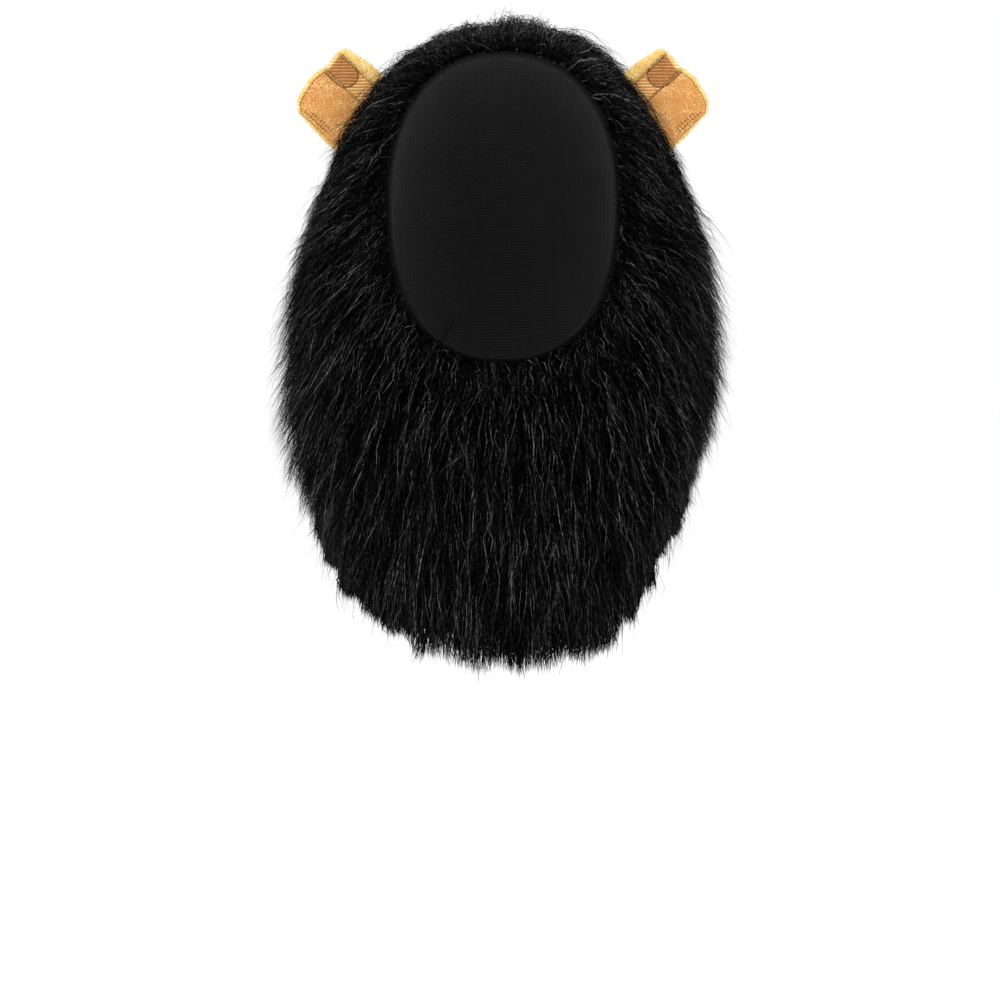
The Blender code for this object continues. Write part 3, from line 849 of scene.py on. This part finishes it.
def trim(lines, normals, dice, soft_edge=SOFT_EDGE, stray=STRAY):
    """Cuts strands at the outline and at the ears, and crimps what is left."""
    count = len(lines)
    own_room = 0.004 - dice.exponential(soft_edge, count)
    own_room += np.where(dice.random(count) < stray, dice.exponential(0.007, count), 0)
    room = outline_room(lines) + np.minimum(own_room, 0.016)[:, None]
    depth_room = np.minimum(lines[..., 1] - FRONT_LIMIT, BACK_LIMIT - lines[..., 1])
    room = np.minimum(np.minimum(room, depth_room), ear_room(lines))
    outside = room < 0
    first = np.where(outside.any(1), outside.argmax(1), LINE_STEPS)
    before = np.maximum(first - 1, 0)
    rows = np.arange(count)
    part = room[rows, before] / np.maximum(room[rows, before] - room[rows, first], 1e-9)
    kept = np.where(outside.any(1), (before + np.clip(part, 0, 1)) / LINE_STEPS, 1.0)
    at = kept[:, None] * np.arange(RIBBON_STEPS + 1) / RIBBON_STEPS * LINE_STEPS
    low = np.minimum(at.astype(int), LINE_STEPS - 1)
    part = (at - low)[..., None]
    cut = lines[rows[:, None], low] * (1 - part) + lines[rows[:, None], low + 1] * part
    cut[:, 1:] += dice.normal(0, CRIMP, (count, RIBBON_STEPS, 3))
    astray = in_face_opening(cut).any(1) | in_hollow(cut[:, 2:], hollow_reach()).any(1)
    good = (kept > 0.25) & ~astray
    return cut[good], normals[good]


# %% [markdown]
# ## Ribbons
# Each strand is a flat tapering ribbon, turned by chance about its own line, so that some catch the
# light and most do not. A single fibre is under 0.1 mm thick, too fine to draw a million of, so a
# ribbon is several times coarser and stands for a few fibres that cling together. Most are black and
# some are painted pale grey as highlights, and along each one a painted glint comes and goes, where a
# wavy fibre would turn to the light and away. Blender's own hair would be quicker to grow but has no
# mesh to keep.

# %% Ribbons
STRAND_WIDTH = 0.0006
RIBBON_WIDTHS = np.array([0.8, 1.0, 1.0, 0.9, 0.7, 0.42])  # at each step before the tip
# The grey strands are painted highlights, since the fur's gloss is almost off.
HIGHLIGHT_SHARE = 0.22  # share of strands that look grey
REACH = np.append(np.repeat(np.arange(RIBBON_STEPS) / RIBBON_STEPS, 2), 1.0)  # 0 at the root, 1 at the tip


def ribbon_points(lines, normals, dice, breadth):
    """Two points at each step of each strand and one at its tip."""
    count = len(lines)
    ahead = unit(np.gradient(lines, axis=1))
    beside = unit(np.cross(ahead, normals[:, None]))
    over = np.cross(beside, ahead)
    turn = dice.uniform(-1.2, 1.2, count)[:, None, None]
    across = beside * np.cos(turn) + over * np.sin(turn)
    width = STRAND_WIDTH * breadth * dice.uniform(0.65, 1.2, count)[:, None] * RIBBON_WIDTHS / 2
    aside = across[:, :-1] * width[..., None]
    pairs = np.stack([lines[:, :-1] - aside, lines[:, :-1] + aside], 2)
    return np.concatenate([pairs.reshape(count, -1, 3), lines[:, -1:]], 1)


def ribbon_faces(count):
    """Two triangles for each step of a ribbon and one at its tip."""
    strip = []
    for k in range(RIBBON_STEPS - 1):
        a, b, c, d = 2 * k, 2 * k + 1, 2 * k + 3, 2 * k + 2
        strip += [(a, b, c), (a, c, d)]
    each = 2 * RIBBON_STEPS + 1
    strip.append((each - 3, each - 2, each - 1))
    return (np.arange(count)[:, None, None] * each + np.array(strip)).reshape(-1, 3)


def ribbon_uv(count):
    """A cell of the picture for each strand, so that each can carry its own shade."""
    cells = math.ceil(math.sqrt(count))
    cell = np.arange(count)
    u = (cell % cells)[:, None] + np.append(np.tile([0.2, 0.8], RIBBON_STEPS), 0.5)
    v = (cell // cells)[:, None] + 0.1 + 0.8 * REACH
    return np.stack([u, v], -1).reshape(-1, 2) / cells


def ribbons(name, lines, normals, dice, breadth=1.0):
    """One piece of fur from strand lines."""
    count = len(lines)
    # Painted highlights: some strands get a grey tint in place of the light they would reflect; the rest are
    # black with a little random tone.
    highlit = dice.random(count) < HIGHLIGHT_SHARE
    own_highlight_tint = np.where(highlit, dice.uniform(0.35, 1.0, count), dice.beta(1, 40, count))
    tint = own_highlight_tint[:, None] * dice.beta(0.6, 0.8, (count, RIBBON_STEPS + 1))
    tint = tint[:, np.append(np.repeat(np.arange(RIBBON_STEPS), 2), RIBBON_STEPS)]
    points = ribbon_points(lines, normals, dice, breadth)
    piece = add_piece(name, points.reshape(-1, 3), ribbon_faces(count), ["mane_fur"],
                      ribbon_uv(count), {"tint": tint.ravel(), "reach": np.tile(REACH, count)})
    piece.data.materials.append(fur_black)
    return piece


# %% [markdown]
# ## Fringe round the face
# The first row of pile is sewn right at the face edge. Its strands are short, leave the hem forwards and
# outwards and then roll back over the fur behind them, so the hem hardly shows. At the crown they lie
# back sooner, as the photograph shows no brow of fur there, and under the chin they fall at once.

# %% Fringe round the face
FRINGE_STRANDS = 4500


def face_fringe(count, seed):
    """Lines of short strands from the front of the face hem, which roll outwards over it."""
    dice = np.random.default_rng(seed)
    angle = dice.uniform(0, 2 * np.pi, count)
    station = np.zeros(count)
    along, out = cloth_slopes(station, angle)
    start = off_cloth(station, angle, dice.uniform(0.002, 0.009, count))
    start = start - along * (HEM_WIDTH * dice.uniform(0.2, 1.15, count))[:, None]
    around = np.cross(along, out)
    sweep = (PARTING * np.sin(angle) * np.maximum(np.cos(angle), 0) * 2)[:, None]
    crown = np.maximum(np.cos(angle), 0)[:, None]
    throat = np.maximum(-np.cos(angle), 0)[:, None]
    forward = dice.uniform(0.0, 1.0, (count, 1)) * (0.9 - 0.4 * crown - 0.9 * throat)
    heading = out * dice.uniform(0.7, 1.2, (count, 1)) + along * (crown - forward)
    heading = unit(heading + around * sweep + dice.normal(0, 0.16, (count, 3)))
    hang = (0.15 + FALL * np.sin(angle) ** 2 - 0.15 * (np.cos(angle) > 0.5))[:, None]
    length = dice.uniform(0.022, 0.052, count)[:, None] * (1 - 0.3 * crown)
    line = [start]
    for step in range(LINE_STEPS):
        share = step / LINE_STEPS
        turned = unit(heading + along * 1.1 * share + DOWN * (hang + 0.8 * share))
        line.append(line[-1] + turned * length / LINE_STEPS)
    return np.stack(line, 1), out


dice = np.random.default_rng(31)
lines, normals = face_fringe(FRINGE_STRANDS, 30)
fringe = ribbons("face_fringe", *trim(lines, normals, dice), dice, 0.8)
print("face_fringe triangles:", triangles_in(fringe))

# %% [markdown]
# ## Parts of the fur
# The fur is made in parts, so that each can have its own density and stays small enough to handle. The
# crown's strands are finer and thin out softly against the light. At the neck edge wide black strands
# hang behind the glossy ones and stand for the underfur there, which would otherwise end as a hard rim.

# %% Parts of the fur
TURN = math.pi
FUR_PARTS = (
    # name, strands, station ends, angle ends in half turns, seed, width, length, soft edge
    ("crown_fur", 11300, (0.0, 0.55), (-0.30, 0.30), 21, 0.62, 1.0, 0.007),
    ("nape_fur", 9200, (0.55, 1.0), (-0.42, 0.42), 22, 1.0, 1.0, 0.004),
    ("left_cheek_fur", 10500, (0.0, 0.55), (-0.72, -0.30), 23, 0.9, 1.0, 0.004),
    ("right_cheek_fur", 10500, (0.0, 0.55), (0.30, 0.72), 24, 0.9, 1.0, 0.004),
    ("left_shoulder_fur", 5000, (0.55, 1.0), (-0.72, -0.42), 25, 1.0, 1.0, 0.004),
    ("right_shoulder_fur", 5000, (0.55, 1.0), (0.42, 0.72), 26, 1.0, 1.0, 0.004),
    ("chest_fur", 7500, (0.0, 0.8), (0.72, 1.28), 27, 1.0, 1.0, 0.005),
    ("chest_edge_fur", 8500, (0.8, 1.04), (0.60, 1.40), 28, 1.0, 1.0, 0.005),
    ("nape_edge_fur", 2200, (0.86, 1.02), (-0.62, 0.62), 33, 1.1, 1.0, 0.005),
    ("throat_edge_underfur", 2400, (0.94, 1.05), (0.62, 1.38), 29, 3.6, 0.86, 0.004),
    ("nape_edge_underfur", 2200, (0.93, 1.02), (-0.66, 0.66), 32, 4.4, 0.80, 0.004),
)
for name, count, station_ends, angle_ends, seed, breadth, long, soft_edge in FUR_PARTS:
    ends = (angle_ends[0] * TURN, angle_ends[1] * TURN)
    lines, normals, area = grow(count, station_ends, ends, seed, long)
    dice = np.random.default_rng(seed + 100)
    stray = 0.0 if "underfur" in name else STRAY
    lines, normals = trim(lines, normals, dice, soft_edge, stray)
    piece = ribbons(name, lines, normals, dice, breadth)
    if "underfur" in name:
        piece.data.materials[0] = underfur_black
    print(name, "strands:", len(lines), "triangles:", triangles_in(piece), "area, m2:", round(area, 3))

# %% [markdown]
# ## Plush for the ears
# The ears are polyester plush with a short, soft pile, which scatters light and has almost no gloss.
# The eye sees a warm colour that drifts a little from tuft to tuft. The patch inside the ear is a
# ribbed plush, and its ribs show as level lines of light and dark. Two colours can meet on one panel,
# as at the yellow rim, so a value on each point, its edge or its lap, mixes the next panel's colour in.

# %% Plush for the ears
TUFT = 0.0012
RIB_PITCH = 0.0022
RIB_HEIGHT = 0.0003
YELLOW = ("#fbe6a6", "#fff4cc", "#ebc473")
TAN = ("#f7c987", "#ffdca4", "#d79a57")
BROWN = ("#d2965d", "#e2ab73", "#a96f3c")


def plush(name, own, edge=None, lap=None, ribbed=False):
    """Short polyester plush in its base, light and dark shade, with the shades of what it meets."""
    material, shader = new_material(name, Roughness=0.9, Sheen_Weight=0.25, Sheen_Roughness=0.4,
                                    Specular_IOR_Level=0.15)
    place = add(material, "TexCoord")
    tufts = add(material, "TexVoronoi", {"Vector": (place, "Object"), "Scale": 1 / TUFT})
    drift = add(material, "TexNoise", {"Vector": (place, "Object"), "Scale": 110.0, "Detail": 4.0})
    fleck = add(material, "Math", {0: (tufts, "Distance"), 1: (drift, "Fac")}, operation="ADD")
    height = add(material, "Math", {0: 1.0, 1: (tufts, "Distance")}, operation="SUBTRACT")
    if ribbed:
        ridge = add(material, "TexWave", {"Vector": (place, "Object"), "Scale": math.pi / 10 / RIB_PITCH,
                                          "Distortion": 1.2, "Detail": 2.0}, bands_direction="Z")
        fleck = add(material, "Math", {0: (drift, "Fac"), 1: (ridge, "Fac")}, operation="ADD")
        height = ridge
    found = None
    for shades, value in ((own, None), (edge, "edge"), (lap, "lap")):
        if shades is None:
            continue
        base, light, dark = shades
        shade = add(material, "ValToRGB", {"Fac": (fleck, 0)})
        ramp = shade.color_ramp
        ramp.elements[0].position = 0.30
        ramp.elements[0].color = colour(light)
        ramp.elements[1].position = 1.0
        ramp.elements[1].color = colour(dark)
        middle_stop = ramp.elements.new(0.72)
        middle_stop.color = colour(base)
        if value:
            here = add(material, "Attribute", attribute_name=value)
            shade = add(material, "Mix", {0: (here, "Fac"), 6: found, 7: (shade, "Color")}, data_type="RGBA")
            found = (shade, 2)
        else:
            found = (shade, "Color")
    link(material, *found, shader, "Base Color")
    relief = add(material, "Bump", {"Height": (height, 0), "Strength": 0.6, "Distance": 0.0008})
    link(material, relief, "Normal", shader, "Normal")
    return material


yellow_plush = plush("yellow_polyester_plush", YELLOW)
tan_plush = plush("tan_polyester_plush", TAN, YELLOW)
brown_plush = plush("brown_ribbed_plush", BROWN, YELLOW, TAN, ribbed=True)

# %% [markdown]
# ## Ear panels
# An ear is a stuffed back panel with a rolled edge, a puffed lining on its outer half and a ribbed patch
# on its inner half, with a pleat between them. The frame's panels have the right form but flat facets.
# A voxel remesh gives each an even skin, smoothing rounds its edges as sewing does, and short fibres
# stand on it. Sculpting one ear by hand could come closer to it, but the work would not carry over to
# the other.

# %% Ear panels
EAR_PANELS = (
    # panel, voxel, smoothing, material, slot, fill, fibre length
    ("back", 0.0013, 4, yellow_plush, "yellow_plush", 0.5, 0.0017),
    ("lining", 0.0011, 5, tan_plush, "tan_plush", 0.7, 0.0014),
    ("inner", 0.0008, 3, brown_plush, "brown_plush", 0.3, 0.0008),
)
FIBRE_WIDTH = 0.00026  # far coarser than a plush fibre, as each stands for a tuft
FIBRES_PER_CM2 = 92
RIM = 0.0028  # how wide the yellow edge is round the lining
PATCH_MIDDLE, PATCH_HALF, PATCH_FOOT = 0.0135, 0.0088, 0.0325  # the ribbed patch: across, half width, foot


def skin_of(node, voxel, smoothing):
    """An evenly meshed and softened copy of a panel of the frame, as arrays."""
    copy = bpy.data.objects.new("skin", frame["nodes"][node].data.copy())
    bpy.context.scene.collection.objects.link(copy)
    remesh = copy.modifiers.new("even", "REMESH")
    remesh.mode = "VOXEL"
    remesh.voxel_size = voxel
    soften = copy.modifiers.new("soften", "SMOOTH")
    soften.factor = 0.5
    soften.iterations = smoothing
    graph = bpy.context.evaluated_depsgraph_get()
    mesh = bpy.data.meshes.new_from_object(copy.evaluated_get(graph))
    bpy.data.objects.remove(copy)
    points = np.zeros(len(mesh.vertices) * 3)
    mesh.vertices.foreach_get("co", points)
    normals = np.zeros(len(mesh.vertices) * 3)
    mesh.vertices.foreach_get("normal", normals)
    mesh.calc_loop_triangles()
    triangles = np.zeros(len(mesh.loop_triangles) * 3, np.int32)
    mesh.loop_triangles.foreach_get("vertices", triangles)
    return points.reshape(-1, 3), normals.reshape(-1, 3), triangles.reshape(-1, 3)


def ear_outline(points, side):
    """Half-millimetre columns across an ear, and how high the ear reaches in each."""
    across, up, _ = in_ear(points, side)
    columns = np.round(across * 2000).astype(int)
    found = np.arange(columns.min(), columns.max() + 1)
    tops = np.array([up[np.abs(columns - here) < 2].max() for here in found])
    return found / 2000, tops


def edge_and_lap(points, side, outline):
    """How much of the yellow rim, and of the tan below the ribbed patch, points of a panel have."""
    across, up, _ = in_ear(points, side)
    columns, tops = outline
    inside = np.minimum(np.interp(across, columns, tops) - up, across - columns[0])
    edge = np.clip((RIM - inside) / 0.0006 + 0.5, 0, 1)
    from_middle = (across - PATCH_MIDDLE) / PATCH_HALF
    foot = PATCH_FOOT + PATCH_HALF * (1 - np.sqrt(np.clip(1 - from_middle ** 2, 0, 1)))
    lap = np.clip((foot - up) / 0.0006 + 0.5, 0, 1)
    return edge, lap


def plush_fibres(name, points, normals, triangles, values, material, length, lay, seed):
    """Short fibres that stand on a panel's skin, brushed along lay."""
    dice = np.random.default_rng(seed)
    a, b, c = (points[triangles[:, k]] for k in range(3))
    area = np.linalg.norm(np.cross(b - a, c - a), axis=1) / 2
    count = int(area.sum() * 1e4 * FIBRES_PER_CM2)
    face = dice.choice(len(triangles), count, p=area / area.sum())
    share = dice.random((2, count))
    flip = share.sum(0) > 1
    share[:, flip] = 1 - share[:, flip]
    root = a[face] + (b - a)[face] * share[0][:, None] + (c - a)[face] * share[1][:, None]
    out = normals[triangles[face, 0]]
    way = unit(out + lay * 0.5 + dice.normal(0, 0.35, (count, 3)))
    tip = root + way * (length * dice.uniform(0.5, 1.1, count))[:, None]
    across = unit(np.cross(way, dice.normal(0, 1, (count, 3)))) * FIBRE_WIDTH / 2
    root = root - out * 0.0003
    knee = root * 0.5 + tip * 0.5 + out * 0.0002
    corners = np.stack([root - across, root + across, knee - across * 0.8, knee + across * 0.8, tip], 1)
    strip = np.array([(0, 1, 3), (0, 3, 2), (2, 3, 4)])
    faces = (np.arange(count)[:, None, None] * 5 + strip).reshape(-1, 3)
    carried = {key: np.repeat(value[triangles[face, 0]], 5) for key, value in values.items()}
    piece = add_piece(name, corners.reshape(-1, 3), faces, values=carried)
    piece.data.materials.append(material)
    return piece


skins = {}
outlines = {}
for side, word in ((-1, "left"), (1, "right")):
    seat, across, up, forward = ear_frame(side)
    for panel, voxel, smoothing, material, slot, fill, length in EAR_PANELS:
        node = f"{word}_ear_{panel}"
        points, normals, triangles = skin_of(node, voxel, smoothing)
        if panel == "back":
            outlines[side] = ear_outline(points, side)
        edge, lap = edge_and_lap(points, side, outlines[side])
        values = {} if panel == "back" else {"edge": edge, "lap": lap}
        if panel == "inner":
            ribs = RIB_HEIGHT * np.sin(2 * np.pi * points[:, 2] / RIB_PITCH) * (1 - lap)
            points = points + normals * ribs[:, None]
        piece = add_piece(f"{node}_plush", points, triangles, [node], values=values)
        piece.data.materials.append(material)
        fibres = plush_fibres(f"{node}_fibres", points, normals, triangles, values, material, length,
                              up * 0.6 + DOWN * 0.3, 40 + side)
        skins[side, panel] = (points, triangles)
        print(node, "triangles:", triangles_in(piece), "and", triangles_in(fibres))
    columns, tops = outlines[side]
    print(word, "ear from", round(columns[0] * 1000), "to", round(columns[-1] * 1000), "mm, top",
          round(tops.max() * 1000))

# %% [markdown]
# ## Ear stitching
# A dark seam runs round the ribbed patch, a line of small stitches holds the rolled rim, and loops of
# thread dot the outer edge. Each is laid on the plush by a ray from in front of the ear, which finds the
# panel's own surface, so the stitches follow every bulge.

# %% Ear stitching
SEAM_THREAD = 0.0007
STITCH_LENGTH = 0.0016
ear_thread, ear_thread_shader = new_material("brown_sewing_thread", Roughness=0.6, Specular_IOR_Level=0.2)
place = add(ear_thread, "TexCoord")
ply = add(ear_thread, "TexWave", {"Vector": (place, "Object"), "Scale": 500.0, "Distortion": 1.0},
          bands_direction="DIAGONAL")
shade = add(ear_thread, "ValToRGB", {"Fac": (ply, "Fac")})
shade.color_ramp.elements[0].color = colour("#6b4219")
shade.color_ramp.elements[1].color = colour("#9a6732")
link(ear_thread, shade, "Color", ear_thread_shader, "Base Color")


def stitches_on_ear(side, path, length, gap, width):
    """Bars of thread along a path of places across and up an ear, on the front of its panels."""
    seat, across, up, forward = ear_frame(side)
    trees = [BVHTree.FromPolygons(points.tolist(), triangles.tolist())
             for (its_side, _), (points, triangles) in skins.items() if its_side == side]
    path = np.array(path)
    way = np.concatenate([[0], np.cumsum(np.linalg.norm(np.diff(path, axis=0), axis=1))])
    bars = []
    for begin in np.arange(0, way[-1] - length, length + gap):
        ends = []
        for at in (begin, begin + length / 2, begin + length):
            a, b = np.interp(at, way, path[:, 0]), np.interp(at, way, path[:, 1])
            start = seat + across * a + up * b + forward * 0.05
            hits = [tree.ray_cast(Vector(start), Vector(-forward)) for tree in trees]
            hits = [hit for hit in hits if hit[0] is not None]
            if hits:
                ends.append(np.array(min(hits, key=lambda hit: hit[3])[0]) + forward * 0.0004)
        if len(ends) == 3:
            bars.append(ends)
    if not bars:
        return np.zeros((0, 3)), np.zeros((0, 4), int)
    bars = np.array(bars)
    ahead = unit(bars[:, 2] - bars[:, 0])
    beside = unit(np.cross(ahead, forward)) * width / 2
    lift = np.array([0.0, 0.5, 0.0])[None, :, None] * forward * width
    rows = []
    for turn in range(4):
        rows.append(bars + lift + (beside * math.cos(turn * math.pi / 2)
                                   + forward * width / 2 * math.sin(turn * math.pi / 2))[:, None])
    points = np.stack(rows, 2).reshape(-1, 3)
    quads = [(4 * k + t, 4 * k + (t + 1) % 4, 4 * k + 4 + (t + 1) % 4, 4 * k + 4 + t)
             for k in range(2) for t in range(4)] + [(3, 2, 1, 0), (8, 9, 10, 11)]
    return points, (np.arange(len(bars))[:, None, None] * 12 + np.array(quads)).reshape(-1, 4)


for side, word in ((-1, "left"), (1, "right")):
    columns, tops = outlines[side]
    turn = np.linspace(math.pi, 2 * math.pi, 25)
    patch_seam = [(PATCH_MIDDLE - PATCH_HALF, tops.max() - 0.004)]
    patch_low = PATCH_FOOT + PATCH_HALF
    patch_seam += [(PATCH_MIDDLE + PATCH_HALF * math.cos(t), patch_low + PATCH_HALF * math.sin(t))
                   for t in turn]
    patch_seam += [(PATCH_MIDDLE + PATCH_HALF, tops.max() - 0.004)]
    left_edge = columns[0]
    rim_across = np.linspace(left_edge + RIM, PATCH_MIDDLE - PATCH_HALF, 30)
    rim_seam = [(left_edge + RIM + 0.0004, 0.024)]
    rim_seam += [(a, np.interp(a, columns, tops) - RIM - 0.0004) for a in rim_across]
    loops = [(left_edge + RIM + 0.0028, b) for b in np.linspace(0.024, 0.046, 12)]
    inner_loops = [(left_edge + RIM + 0.0056, b) for b in np.linspace(0.024, 0.040, 10)]
    parts = [stitches_on_ear(side, patch_seam, 0.0030, 0.0002, SEAM_THREAD),
             stitches_on_ear(side, rim_seam, STITCH_LENGTH, 0.0010, SEAM_THREAD * 0.7),
             stitches_on_ear(side, loops, 0.0010, 0.0014, SEAM_THREAD * 1.2),
             stitches_on_ear(side, inner_loops, 0.0009, 0.0015, SEAM_THREAD * 1.1)]
    points = np.concatenate([part[0] for part in parts])
    starts = np.cumsum([0] + [len(part[0]) for part in parts[:-1]])
    faces = np.concatenate([part[1] + first for part, first in zip(parts, starts)])
    piece = add_piece(f"{word}_ear_stitches", points, faces)
    piece.data.materials.append(ear_thread)
    print(word, "ear stitches:", len(points) // 12)

# %% [markdown]
# ## The cloth as one sheet
# The hood is one stretched sheet of knit, and everything sewn on it goes with it.

dressed = [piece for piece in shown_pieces() if piece.type == "MESH" and "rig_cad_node" not in piece]
print("triangles in all:", sum(triangles_in(piece) for piece in dressed))
